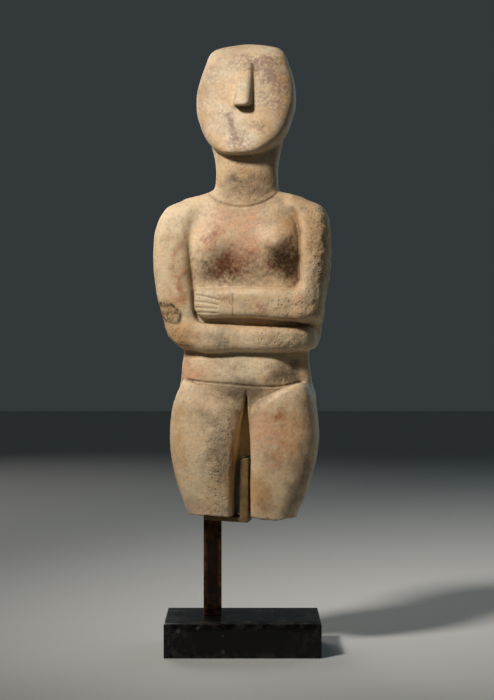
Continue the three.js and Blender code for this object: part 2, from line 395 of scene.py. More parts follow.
def spline(points, count=9):
    """A smooth line through a few points in x and z."""
    rows = np.array(points, float)
    if len(rows) == 2:
        return rows
    along = np.concatenate([[0], np.cumsum(np.hypot(*np.diff(rows, axis=0).T))])
    _, made = smooth_rows(np.column_stack([along, rows]), pitch=along[-1] / (count * len(rows)))
    return made


def off_line(x, z, line):
    """The distance from each point to the line, seen from the front."""
    best = np.full(x.shape, 1e9)
    for (ax, az), (bx, bz) in zip(line[:-1], line[1:]):
        dx, dz = bx - ax, bz - az
        t = np.clip(((x - ax) * dx + (z - az) * dz) / (dx * dx + dz * dz), 0, 1)
        best = np.minimum(best, np.hypot(x - ax - t * dx, z - az - t * dz))
    return best


# Each line: its course in x and z, its width and its depth.
FRONT_LINES = [
    (spline([(-21.9, 184.2), (-16, 183), (-9.4, 181.3)]), 0.42, 0.55),
    (spline([(-21.9, 180.6), (-16, 180), (-10.2, 178.9)]), 0.42, 0.5),
    (spline([(-21.9, 177.6), (-16, 177.3), (-11, 176.8)]), 0.42, 0.5),
    (spline([(-21.9, 175.1), (-16, 175), (-11, 174.6)]), 0.42, 0.45),
    (spline([(-2.2, 184.2), (-2.1, 179), (-2.4, 172.6)]), 0.4, 0.4),
    (spline([(-27, 140.4), (-17, 139.3), (-5, 138.3), (9, 137.2), (21, 137.4), (31, 139.4)]), 0.5, 0.55),
    (
        spline([(-16.5, 236), (-12, 232.4), (-5, 229.8), (2, 229), (9, 230.2), (15, 233), (19, 236.6)]),
        0.6,
        0.5,
    ),
    (spline([(-19, CREST - 7.6), (-6, CREST - 7.9), (8, CREST - 8), (21, CREST - 7.7)]), 0.6, 0.18),
]
BACK_LINES = [
    (spline([(1.6, 228), (0.6, 200), (0.6, 170), (1.2, 150), (1.6, 138)]), 1.2, 0.8),
    (spline([(-15, 237), (-7, 231), (1.6, 228), (10, 231), (18, 237.6)]), 0.7, 0.6),
    (spline([(1.6, 138), (2, 130), (2, 121)]), 1.3, 1.6),
    (spline([(-33, 139.5), (-18, 136), (1.6, 138), (20, 136), (35, 139)]), 0.8, 0.35),
]

# Worn edges along the tops of the thighs, painted pale as a highlight.
RIDGES = [
    spline([(-30.5, 140), (-18, 137.2), (-12, 134.2), (-6.6, 129.8), (-1.6, 125.4)]),
    spline([(31, 138.4), (20.6, 135.6), (13.1, 132.9), (7.4, 128.6), (6, 124)]),
]


def incise(x, y, z):
    """How deep the incised lines cut at each point."""
    depth = np.zeros(x.shape)
    for lines, facing in ((FRONT_LINES, ramp(y, -2, -6)), (BACK_LINES, ramp(y, 2, 6))):
        for line, width, deep in lines:
            off = off_line(x, z, line)
            depth = np.maximum(depth, deep * facing * np.exp(-((off / width) ** 2)))
    return depth


def near_line(x, y, z):
    """Whether a point is close enough to a line to need closer spacing."""
    near = np.zeros(x.shape, bool)
    for lines, facing in ((FRONT_LINES, y < -2), (BACK_LINES, y > 2)):
        for line, _, _ in lines:
            near |= facing & (off_line(x, z, line) < FINE_BAND)
    return near


def carved(x, y, z):
    """How far points lie outside the figure with its incised lines."""
    return body(x, y, z) + incise(x, y, z)


# ---- Noise ---------------------------------------------------------------------------------------

LATTICE = (32, 32, 32)  # cells along each side before the noise repeats


def lattice_noise(p, size, seed):
    """Smooth noise from -1 to 1, with features of about this size."""
    table = np.random.default_rng(seed).uniform(-1, 1, LATTICE)
    q = p / size
    base = np.floor(q).astype(int)
    t = q - base
    t = t * t * t * (t * (t * 6 - 15) + 10)
    total = np.zeros(len(p))
    for step in np.ndindex(2, 2, 2):
        corner = (base + step) % LATTICE
        weight = np.prod(np.where(step, t, 1 - t), axis=1)
        total += weight * table[corner[:, 0], corner[:, 1], corner[:, 2]]
    return total


def layered_noise(p, size, seed, layers):
    """Noise with finer and fainter layers added, from about -1 to 1."""
    fade = 0.5
    total = np.zeros(len(p))
    scale = 0.0
    for n in range(layers):
        total += fade**n * lattice_noise(p, size / 2**n, seed + n)
        scale += fade**n
    return total / scale * 1.6


def pits(p, size, seed, share):
    """1 at the middle of scattered round pits about this size apart, falling to 0 between them."""
    rng = np.random.default_rng(seed)
    jitter = rng.uniform(0.1, 0.9, (*LATTICE, 3))
    width = rng.uniform(0.25, 0.6, LATTICE) * (rng.uniform(0, 1, LATTICE) < share)
    q = p / size
    base = np.floor(q).astype(int)
    best = np.zeros(len(p))
    for step in np.ndindex(3, 3, 3):
        cell = base + np.array(step) - 1
        wrap = cell % LATTICE
        wrap = (wrap[:, 0], wrap[:, 1], wrap[:, 2])
        off = np.linalg.norm(q - cell - jitter[wrap], axis=1)
        best = np.maximum(best, ramp(off, width[wrap] + 1e-6, 0))
    return best


# ---- From field to mesh --------------------------------------------------------------------------


def surface_net(field, low, cell):
    """The surface where a sampled field is zero, as points and four-sided faces."""
    inside = field < 0
    nx, ny, nz = field.shape
    count = np.zeros((nx - 1, ny - 1, nz - 1), np.int8)
    for i, j, k in np.ndindex(2, 2, 2):
        count += inside[i : nx - 1 + i, j : ny - 1 + j, k : nz - 1 + k]
    cells = np.argwhere((count > 0) & (count < 8))
    number = np.full(count.shape, -1)
    number[tuple(cells.T)] = np.arange(len(cells))
    total = np.zeros((len(cells), 3))
    hits = np.zeros(len(cells))
    for axis in range(3):
        for side in np.ndindex(2, 2):
            start = np.insert(np.array(side), axis, 0)
            end = np.insert(np.array(side), axis, 1)
            a = field[tuple((cells + start).T)]
            b = field[tuple((cells + end).T)]
            crossed = (a < 0) != (b < 0)
            point = np.repeat(start[None].astype(float), len(cells), 0)
            point[:, axis] = a / np.where(crossed, a - b, 1)
            total[crossed] += point[crossed]
            hits[crossed] += 1
    points = low + cell * (cells + total / hits[:, None])
    faces = []
    for axis in range(3):
        one, two = [a for a in range(3) if a != axis]
        first = np.moveaxis(inside, axis, 0)
        change = np.moveaxis(first[:-1] != first[1:], 0, axis)
        edges = np.argwhere(change)
        edges = edges[(edges[:, one] > 0) & (edges[:, two] > 0)]
        u, v = np.eye(3, dtype=int)[[one, two]]
        ring = [edges, edges - u, edges - u - v, edges - v]
        quad = np.column_stack([number[tuple(c.T)] for c in ring])
        outward = inside[tuple(edges.T)] == (axis != 1)
        quad[~outward] = quad[~outward][:, ::-1]
        faces.append(quad)
    return points, np.concatenate(faces)


def slope_at(field, p, reach=0.12):
    """The field's gradient at points."""
    made = np.empty_like(p)
    for axis in range(3):
        step = np.zeros(3)
        step[axis] = reach
        made[:, axis] = (field(*(p + step).T) - field(*(p - step).T)) / (2 * reach)
    return made


def settle(field, p, rounds, limit=0.6):
    """Points moved onto the surface where the field is zero."""
    for _ in range(rounds):
        g = slope_at(field, p)
        move = field(*p.T)[:, None] * g / np.maximum((g * g).sum(1), 0.05)[:, None]
        size = np.linalg.norm(move, axis=1)[:, None]
        p = p - move * np.minimum(1, limit / np.maximum(size, 1e-9))
    return p


def even_out(p, faces, rounds, share=0.5):
    """Points moved towards the middle of their neighbours."""
    edges = np.concatenate([faces[:, [i, (i + 1) % 4]] for i in range(4)])
    count = np.bincount(edges.ravel(), minlength=len(p))[:, None]
    for _ in range(rounds):
        total = np.empty_like(p)
        for axis in range(3):
            a = np.bincount(edges[:, 0], p[edges[:, 1], axis], len(p))
            b = np.bincount(edges[:, 1], p[edges[:, 0], axis], len(p))
            total[:, axis] = a + b
        p = p + share * (total / count - p)
    return p


def refine(points, faces, wanted):
    """The mesh with every face near a wanted point split in four."""
    mesh = bmesh.new()
    verts = [mesh.verts.new(p) for p in points]
    for face in faces.tolist():
        mesh.faces.new([verts[i] for i in face])
    close = wanted(*points.T)
    edges = {e for v, near in zip(verts, close) if near for f in v.link_faces for e in f.edges}
    bmesh.ops.subdivide_edges(mesh, edges=list(edges), cuts=1, use_grid_fill=True)
    mesh.verts.ensure_lookup_table()
    mesh.verts.index_update()
    return mesh


def carve():
    """The figure's surface as a bmesh in its own frame, and its points settled onto the incised surface."""
    low = np.array([-51.0, -24.0, 64.0])
    high = np.array([50.0, 22.0, CREST + 3])
    steps = np.ceil((high - low) / CELL).astype(int) + 1
    axes = [low[a] + CELL * np.arange(steps[a]) for a in range(3)]
    field = np.empty(steps, np.float32)
    for i, x in enumerate(axes[0]):
        y, z = np.meshgrid(axes[1], axes[2], indexing="ij")
        field[i] = body(np.full(y.shape, x), y, z)
    points, faces = surface_net(field, low, CELL)
    points = settle(body, points, 2)
    points = even_out(points, faces, 2)
    points = settle(body, points, 2)
    mesh = refine(points, faces, near_line)
    fine = settle(carved, np.array([v.co[:] for v in mesh.verts]), 4)
    return mesh, fine


# ---- Wear, stains and painted light --------------------------------------------------------------


def eroded(x, y, z):
    """Where the marble's skin is lost and the surface is granular, from 0 to 1."""
    front = ramp(y, 0, -6)
    arm = mound(x, z, 42, 200, 9, 32, power=3) * ramp(x, 30, 35)
    forearm = 0.8 * front * mound(x, z, 28, 176, 16, 7, 4, power=3)
    wrist = 0.9 * front * mound(x, z, 20, 161, 13, 6, -8, power=3)
    strip = front * mound(x, z, -10, 92, 7, 34, -7, power=3)
    elbow = 0.8 * mound(x, z, -37, 163, 9, 8, power=3)
    neck = 0.45 * mound(x, z, 2, 241, 17, 9, power=4)
    belly = 0.45 * front * mound(x, z, 20, 143, 11, 6, power=3)
    under = 0.6 * front * mound(x, z, -6, 157.5, 9, 3, power=3)
    behind = np.maximum(mound(x, z, -20, 196, 14, 20, 20), mound(x, z, 14, 112, 16, 14, -30))
    behind = 0.8 * ramp(y, 2, 7) * behind
    patches = [arm, forearm, wrist, strip, elbow, neck, belly, under, behind]
    return np.clip(np.maximum.reduce(patches), 0, 1)


# Stains by kind, each patch as the x and z of its middle, its two radii, its tilt and its strength.
FRONT_STAINS = {
    "maroon": [
        (-6.8, 198.8, 8.5, 6.5, 20, 1.0),
        (4, 204, 8, 6, 0, 0.45),
        (16.4, 197.8, 3.4, 4, 0, 0.9),
        (-14.6, 213, 3.4, 4.4, 30, 0.5),
        (-6.3, 183, 3.2, 2.4, 0, 0.4),
        (12.8, 178.4, 4, 3.4, 0, 0.3),
        (27, 206, 2.5, 10, 0, 0.4),
    ],
    "soot": [
        (23.8, 198.6, 7.2, 11, 8, 1.0),
        (-17.5, 196.5, 6.5, 7, 0, 0.5),
        (2, 194, 24, 6, 0, 0.4),
        (28.4, 210, 2.5, 9, 0, 0.45),
        (-3.5, 243.5, 4, 2.2, 0, 0.4),
        (4, 238, 12, 6, 0, 0.3),
        (-12, 150.5, 12, 2.4, 0, 0.15),
        (3, 131, 12, 5, 0, 0.2),
        (21.6, 142.6, 8, 4.5, 20, 0.5),
    ],
    "rust": [
        (-31.6, 206, 1.6, 9, -4, 0.5),
        (-30.2, 188, 1.8, 12, -6, 0.75),
        (21.6, 123.7, 4.2, 3.4, 0, 0.75),
        (21, 99.6, 5, 3.4, 0, 0.45),
        (-3.0, 106, 1.0, 18, 0, 0.5),
        (-27, 161, 7, 5, 0, 0.25),
        (12.8, 178.4, 5, 3, 0, 0.4),
        (-14.6, 212.5, 4, 5, 0, 0.5),
    ],
    "ochre": [
        (-37, 178, 8, 10, 0, 0.7),
        (-33, 165, 9, 8, 0, 0.9),
        (22, 282, 5, 14, 10, 0.4),
        (33, 220, 12, 16, 0, 0.4),
        (30, 172, 14, 10, 0, 0.5),
        (-30, 108, 8, 22, 0, 0.6),
        (10, 84, 7, 10, 0, 0.8),
        (2, 243, 18, 11, 0, 0.6),
        (28, 110, 8, 20, 0, 0.5),
        (-24, 282, 6, 16, 0, 0.35),
        (2, 168, 30, 2.4, 0, 0.5),
    ],
    "pink": [
        (8, 213, 12, 10, 0, 0.7),
        (30, 190, 3, 12, 0, 0.6),
        (-16, 131, 9, 5, -20, 0.6),
        (12, 116, 7, 11, 0, 0.65),
        (23, 112, 10, 12, 0, 0.5),
        (-8, 222, 14, 7, 0, 0.5),
        (-36, 150, 10, 8, 0, 0.4),
        (-26, 143, 8, 6, 0, 0.7),
    ],
    "grey": [
        (-14, 119.5, 9, 5, 0, 0.6),
        (-9, 103, 8, 14, 0, 0.9),
        (3, 134, 17, 4.6, 0, 1.0),
        (2, 127, 8, 7, 0, 0.9),
        (22, 143, 9, 5, 0, 0.9),
        (29, 86, 5, 13, -8, 0.9),
        (33, 104, 4, 14, 0, 0.5),
        (-3.5, 243, 6, 4, 0, 0.8),
        (3, 238, 16, 8, 0, 0.5),
        (-8.6, 163, 5, 6, 0, 0.7),
        (14, 220, 8, 6, 0, 0.5),
        (26, 228, 8, 5, 0, 0.5),
        (-18, 294, 9, 16, 0, 0.35),
        (-4, 148, 8, 4, 0, 0.4),
    ],
    # The pale patches are painted highlights on the breasts, left shoulder and arm and thigh tops, laid as
    # paler stone.
    "pale": [
        (-21, 210, 6, 8, 0, 0.9),
        (-34, 224, 9, 8, 0, 0.4),
        (-24, 133, 10, 6, -12, 0.85),
        (-11, 128, 9, 5, -38, 0.85),
        (24, 133, 10, 4, 26, 0.9),
        (-22, 207, 6, 8, 0, 0.7),
        (-24, 112, 6, 20, 0, 0.5),
        (-38, 200, 5, 22, 0, 0.4),
        (14, 214, 6, 6, 0, 0.4),
    ],
    "mauve": [
        (12.4, 304, 14, 4.2, -4, 0.9),
        (13.5, 296, 3.4, 4.4, 0, 1.0),
        (-2.6, 268, 4, 9, 28, 1.0),
        (9, 271, 4, 2.4, 0, 0.7),
        (17, 290, 9, 10, 0, 0.5),
    ],
}


# How strong the looser stains are on the sides and back.
LOOSE_STAINS = {
    "maroon": 0.15,
    "soot": 0.3,
    "rust": 0.3,
    "ochre": 0.65,
    "pink": 0.5,
    "grey": 0.6,
    "mauve": 0.2,
    "pale": 0.5,
}
LOOSE_SEED = {kind: 91 + 4 * number for number, kind in enumerate(LOOSE_STAINS)}


def stain(kind, p, facing):
    """How strongly a stain lies on each point, with wandering edges and looser patches behind."""
    wander = 3.2
    x = p[:, 0] + wander * layered_noise(p, 7, seed=81, layers=2)
    z = p[:, 2] + wander * layered_noise(p, 7, seed=85, layers=2)
    clear = np.ones(len(p))
    for cx, cz, rx, rz, tilt, strength in FRONT_STAINS[kind]:
        clear *= 1 - np.clip(strength * 1.15 * mound(x, z, cx, cz, rx, rz, tilt, power=2.4), 0, 1)
    loose = LOOSE_STAINS[kind] * ramp(layered_noise(p, 26, LOOSE_SEED[kind], layers=3), 0.15, 0.75)
    return facing * (1 - clear) + (1 - facing) * loose


def weather(p, normal):
    """How far each point is worn in, and the masks that colour the marble."""
    x, y, z = p.T
    worn = eroded(x + 3 * lattice_noise(p, 6, 11), y, z + 3 * lattice_noise(p, 6, 12))
    ends = ramp(normal[:, 2], -0.55, -0.9) * ramp(z, 76, 73)
    ragged_x = x + 1.4 * lattice_noise(p, 4, 15)
    crust = mound(ragged_x, z, -36.2, 175, 6.8, 4.2, -36, power=4) * ramp(y, 2, -4)
    grain = layered_noise(p, 2.2, seed=41, layers=2)
    bent = p + 0.5 * grain[:, None]
    chips = 1 - 2.4 * np.abs(layered_noise(bent, 4.2, seed=45, layers=2))
    holes = pits(p, 2.3, seed=43, share=0.4)
    small = pits(p, 1.5, seed=47, share=0.4)
    sink = 0.20 * layered_noise(p, 17, seed=21, layers=2)
    sink += 0.05 * layered_noise(p, 4, seed=31, layers=2)
    sink += worn * (0.26 * grain + 0.12 * np.clip(chips, -0.4, 1) + 0.24 * holes + 0.2 * small)
    sink += 0.28 * pits(p, 6, seed=51, share=0.10)
    sink += ends * 0.4 * layered_noise(p, 5, seed=61, layers=3)
    sink += crust * (0.5 + 0.5 * layered_noise(p, 2.2, seed=71, layers=2))
    # How closed in each point is, for the painted shade and soil in crevices.
    reach = 2.5
    open_air = body(*(p + reach * normal).T) / reach
    masks = {kind: stain(kind, p, ramp(y, 3, -4)) for kind in FRONT_STAINS}
    edge = np.minimum(off_line(x, z, RIDGES[0]), off_line(x, z, RIDGES[1]))
    # A pale line along the thigh ridges: worn edges with a painted highlight.
    masks["pale"] = np.maximum(masks["pale"], ramp(y, -9, -12) * np.exp(-((edge / 1.3) ** 2)))
    masks["worn"] = worn
    masks["crust"] = crust
    masks["broken"] = ends
    # Soil and painted shade in the pits of the worn skin.
    dark = 0.6 * holes + 0.4 * small + 0.2 * np.clip(chips, 0, 1) + 0.4 * grain
    masks["pits_soil_and_shade"] = np.clip(worn * dark, 0, 1)
    # Painted shade and soil in the crevices, where the surface is closed in.
    masks["crevice_shade_and_soil"] = 1 - np.clip(open_air, 0, 1)
    # How deep the lines cut, for the soil and painted shade in them.
    masks["line"] = np.clip(incise(x, y, z) / 0.5, 0, 1) * ramp(y, 6, -2)
    # Where the slot between the legs takes its painted bounce light.
    masks["slot"] = ramp(slot(x, y, z), 1.2, 0.2) * ramp(y, -11, -8)
    masks["face"] = ramp(z, CHIN - 4, CHIN + 2) * ramp(y, 8, 2)
    return sink, masks


def figure_piece():
    """The carved and weathered figure, turned on its stand, with its masks kept on its points."""
    mesh, fine = carve()
    normal = slope_at(carved, fine)
    normal /= np.maximum(np.linalg.norm(normal, axis=1), 1e-9)[:, None]
    sink, masks = weather(fine, normal)
    worn = fine - normal * sink[:, None]
    c, s = math.cos(TURN), math.sin(TURN)
    x, y, z = worn.T
    placed = np.column_stack([c * x - s * y, s * x + c * y, z])
    for vert, spot in zip(mesh.verts, placed * MM):
        vert.co = spot
    made = bpy.data.meshes.new("carved_marble")
    mesh.to_mesh(made)
    mesh.free()
    for name, values in masks.items():
        made.attributes.new(name, "FLOAT", "POINT").data.foreach_set("value", values.astype(np.float32))
    made.shade_smooth()
    piece = bpy.data.objects.new("carved_marble", made)
    bpy.context.collection.objects.link(piece)
    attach(piece, "root")
    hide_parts("marble_figure")
    return piece


# ---- Stand pieces --------------------------------------------------------------------------------


BLOCK_ROUNDING, POST_ROUNDING, PLATE_ROUNDING = 0.0006, 0.0005, 0.00035  # metres
RUBBED_TILT = 0.12  # angle in radians between a point and its faces where an edge is wholly rubbed


def ease_edges(mesh, rounding):
    sharp = [e for e in mesh.edges if e.calc_face_angle(0) > 1]
    bmesh.ops.bevel(mesh, geom=sharp, offset=rounding, segments=3, profile=0.5, affect="EDGES")


def block(low, high, rounding):
    """A box between two corners, with rounded edges."""
    mesh = bmesh.new()
    bmesh.ops.create_cube(mesh, size=1)
    low, high = Vector(low), Vector(high)
    for v in mesh.verts:
        v.co = Vector((low[i] if v.co[i] < 0 else high[i]) for i in range(3))
    bmesh.ops.subdivide_edges(mesh, edges=mesh.edges[:], cuts=3, use_grid_fill=True)
    ease_edges(mesh, rounding)
    return mesh


def add_piece(name, mesh, node, material):
    """A finished piece of the stand; its points keep how near an edge they are."""
    made = bpy.data.meshes.new(name)
    edge = []
    for v in mesh.verts:
        tilt = max((v.normal.angle(f.normal, 0) for f in v.link_faces), default=0)
        edge.append(min(1, tilt / RUBBED_TILT))
    mesh.to_mesh(made)
    mesh.free()
    made.attributes.new("edge", "FLOAT", "POINT").data.foreach_set("value", edge)
    made.materials.append(material)
    made.shade_smooth()
    piece = bpy.data.objects.new(name, made)
    bpy.context.collection.objects.link(piece)
    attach(piece, "root")
    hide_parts(node)
    return piece


# ---- Materials -----------------------------------------------------------------------------------


def linear(level):
    """One eight-bit screen value, made linear."""
    if level < 10:
        return level / 255 / 12.92
    return ((level / 255 + 0.055) / 1.055) ** 2.4


def srgb(red, green, blue):
    """A colour given as eight-bit screen values, made linear."""
    return (linear(red), linear(green), linear(blue), 1)


class Tree:
    """Adds nodes to a node tree and joins them by socket name."""

    def __init__(self, nodes):
        self.tree = nodes

    def add(self, kind, inputs=None, out=0, **settings):
        """A new node with its sockets set or linked; gives back one of its outputs."""
        node = self.tree.nodes.new(kind)
        for name, value in settings.items():
            setattr(node, name, value)
        for name, value in (inputs or {}).items():
            self.feed(node.inputs[name], value)
        return node.outputs[out]

    def feed(self, socket, value):
        """A socket linked to another node, or set to a plain value."""
        if isinstance(value, bpy.types.NodeSocket):
            self.tree.links.new(value, socket)
        else:
            socket.default_value = value

    def math(self, operation, a, b, clamp=False):
        return self.add("ShaderNodeMath", {0: a, 1: b}, operation=operation, use_clamp=clamp)

    def spread(self, value, low, high, new_low=0.0, new_high=1.0):
        """A value that runs from low to high, made to run from new_low to new_high."""
        ends = {"From Min": low, "From Max": high, "To Min": new_low, "To Max": new_high}
        return self.add("ShaderNodeMapRange", {"Value": value, **ends})

    def times(self, a, b):
        return self.math("MULTIPLY", a, b)

    def noise(self, place, scale, detail, roughness=0.5):
        sockets = {"Vector": place, "Scale": scale, "Detail": detail, "Roughness": roughness}
        return self.add("ShaderNodeTexNoise", sockets)

    def stretched(self, place, factors):
        return self.add("ShaderNodeVectorMath", {0: place, 1: factors}, operation="MULTIPLY")

    def mix(self, amount, a, b, blend="MIX"):
        """Colour a with colour b laid over it by this amount."""
        node = self.tree.nodes.new("ShaderNodeMix")
        node.data_type = "RGBA"
        node.blend_type = blend
        for socket, value in ((0, amount), (6, a), (7, b)):
            self.feed(node.inputs[socket], value)
        return node.outputs[2]

    def mask(self, name):
        """One of the masks kept on a piece's points."""
        return self.add("ShaderNodeAttribute", attribute_name=name, out="Fac")

    def group(self, group, inputs):
        return self.add("ShaderNodeGroup", inputs, node_tree=group)


def new_group(name, inputs, outputs):
    """An empty shader group with named sockets, its input node's outputs and its output node."""
    made = bpy.data.node_groups.new(name, "ShaderNodeTree")
    for label, kind, value in inputs:
        socket = made.interface.new_socket(label, in_out="INPUT", socket_type=kind)
        if value is not None:
            socket.default_value = value
    for label, kind in outputs:
        made.interface.new_socket(label, in_out="OUTPUT", socket_type=kind)
    source = made.nodes.new("NodeGroupInput")
    result = made.nodes.new("NodeGroupOutput")
    return made, source.outputs, result.inputs


NUMBER, VECTOR = "NodeSocketFloat", "NodeSocketVector"


def mottle_group():
    """Cloudy patches of a given size in millimetres, from 0 to 1."""
    group, given, result = new_group(
        "mottle",
        [("Place", VECTOR, None), ("Size", NUMBER, 10.0), ("Low", NUMBER, 0.4), ("High", NUMBER, 0.6)],
        [("Mask", NUMBER)],
    )
    tree = Tree(group)
    scale = tree.math("DIVIDE", 1.0, given["Size"])
    noise = tree.noise(given["Place"], scale, 4.0, 0.6)
    group.links.new(tree.spread(noise, given["Low"], given["High"]), result["Mask"])
    return group


def speckle_group():
    """Scattered specks a given distance apart, with how many there are set by a share."""
    group, given, result = new_group(
        "speckle",
        [("Place", VECTOR, None), ("Size", NUMBER, 1.5), ("Share", NUMBER, 0.4)],
        [("Mask", NUMBER)],
    )
    tree = Tree(group)
    scale = tree.math("DIVIDE", 1.0, given["Size"])
    sockets = {"Vector": given["Place"], "Scale": scale, "Detail": 2.0}
    bend = tree.add("ShaderNodeTexNoise", sockets, out="Color")
    shift = tree.add("ShaderNodeVectorMath", {0: given["Place"], 1: bend}, operation="ADD")
    cells = tree.tree.nodes.new("ShaderNodeTexVoronoi")
    tree.tree.links.new(shift, cells.inputs["Vector"])
    tree.tree.links.new(scale, cells.inputs["Scale"])
    pick = tree.add("ShaderNodeSeparateColor", {"Color": cells.outputs["Color"]})
    kept = tree.math("LESS_THAN", pick, given["Share"])
    dot = tree.spread(cells.outputs["Distance"], 0.42, 0.12)
    group.links.new(tree.times(kept, dot), result["Mask"])
    return group


def dust_group():
    """Fine pale dust that lies on faces turned upward, thicker in clouds."""
    group, given, result = new_group(
        "dust",
        [("Place", VECTOR, None), ("Amount", NUMBER, 0.5)],
        [("Mask", NUMBER)],
    )
    tree = Tree(group)
    facing = tree.add("ShaderNodeNewGeometry", out="Normal")
    up = tree.add("ShaderNodeSeparateXYZ", {"Vector": facing}, out="Z")
    cloud = tree.noise(given["Place"], 0.09, 5.0, 0.7)
    thick = tree.times(tree.spread(up, 0.5, 1.0), tree.spread(cloud, 0.38, 0.7))
    group.links.new(tree.times(thick, given["Amount"]), result["Mask"])
    return group


MOTTLE, SPECKLE, DUST = mottle_group(), speckle_group(), dust_group()


def new_material(name):
    """A material, its tree, its shader node and the place on the object in millimetres."""
    made = bpy.data.materials.new(name)
    made.use_nodes = True
    tree = Tree(made.node_tree)
    place = tree.stretched(tree.add("ShaderNodeTexCoord", out="Object"), (1 / MM, 1 / MM, 1 / MM))
    return made, tree, made.node_tree.nodes["Principled BSDF"], place


def patches(tree, place, size, low, high):
    """Cloudy patches of about this size in millimetres, from 0 to 1."""
    return tree.group(MOTTLE, {"Place": place, "Size": size, "Low": low, "High": high})


def rubbed_edges(tree, place, size, low, high):
    """Where the edges of a piece are rubbed bare, in patches of about this size."""
    return tree.times(tree.mask("edge"), patches(tree, place, size, low, high))


def dusted(tree, place, color, amount, dust_color):
    """The colour with dust on what faces up, and how thick the dust lies."""
    dust = tree.group(DUST, {"Place": place, "Amount": amount})
    return tree.mix(dust, color, dust_color), dust


def finish_material(tree, shader, color, roughness, height, bump, reach):
    """The colour, roughness and bump linked to the shader; reach is the bump's height in metres."""
    tree.tree.links.new(color, shader.inputs["Base Color"])
    tree.tree.links.new(roughness, shader.inputs["Roughness"])
    normal = tree.add("ShaderNodeBump", {"Height": height, "Strength": bump, "Distance": reach})
    tree.tree.links.new(normal, shader.inputs["Normal"])


CREAM = srgb(222, 204, 174)
PALE_CREAM = srgb(222, 209, 186)
WARM_CREAM = srgb(218, 188, 150)
TAN = srgb(190, 155, 116)
STAIN_COLORS = {
    "pink": srgb(206, 146, 116),
    "ochre": srgb(186, 138, 82),
    "grey": srgb(136, 122, 106),
    "mauve": srgb(150, 126, 110),
    "rust": srgb(174, 108, 66),
    "maroon": srgb(126, 62, 40),
    "soot": srgb(60, 37, 12),
    # The pale colour is partly a painted highlight.
    "pale": srgb(238, 216, 184),
}
# The size of each stain's grain in millimetres, its strength and how ragged it is.
STAIN_GRAIN = {
    "pink": (4, 0.7, 0.4),
    "ochre": (4, 0.7, 0.35),
    "grey": (2.4, 0.75, 0.4),
    "pale": (3, 0.8, 0.3),
    "mauve": (1.6, 0.95, 0.75),
    "rust": (2.4, 0.8, 0.4),
    "maroon": (1.8, 0.92, 0.4),
    "soot": (1.8, 0.95, 0.3),
}
SOIL = srgb(74, 56, 34)
FRESH_BREAK = srgb(214, 186, 142)
CRUST_PALE, CRUST_DARK = srgb(176, 146, 100), srgb(70, 56, 34)
# Lighter colours painted into the slot between the legs as bounce light on its shaded walls.
SLOT_BOUNCE_PALE, SLOT_BOUNCE_DARK = srgb(226, 198, 144), srgb(200, 176, 130)


def stained(tree, place, color):
    """The colour with each kind of stain laid over it, ragged at its edges; the pale kind is partly painted
    highlight.
    """
    for kind, (size, strength, ragged) in STAIN_GRAIN.items():
        noise = tree.noise(place, 1 / size, 5.0, 0.7)
        ragged_edge = tree.spread(noise, 0.3, 0.7, -ragged, ragged)
        present = tree.math("MULTIPLY", tree.mask(kind), 4.0, clamp=True)
        amount = tree.math("ADD", tree.mask(kind), tree.times(ragged_edge, present), clamp=True)
        color = tree.mix(tree.times(amount, strength), color, STAIN_COLORS[kind])
    return color


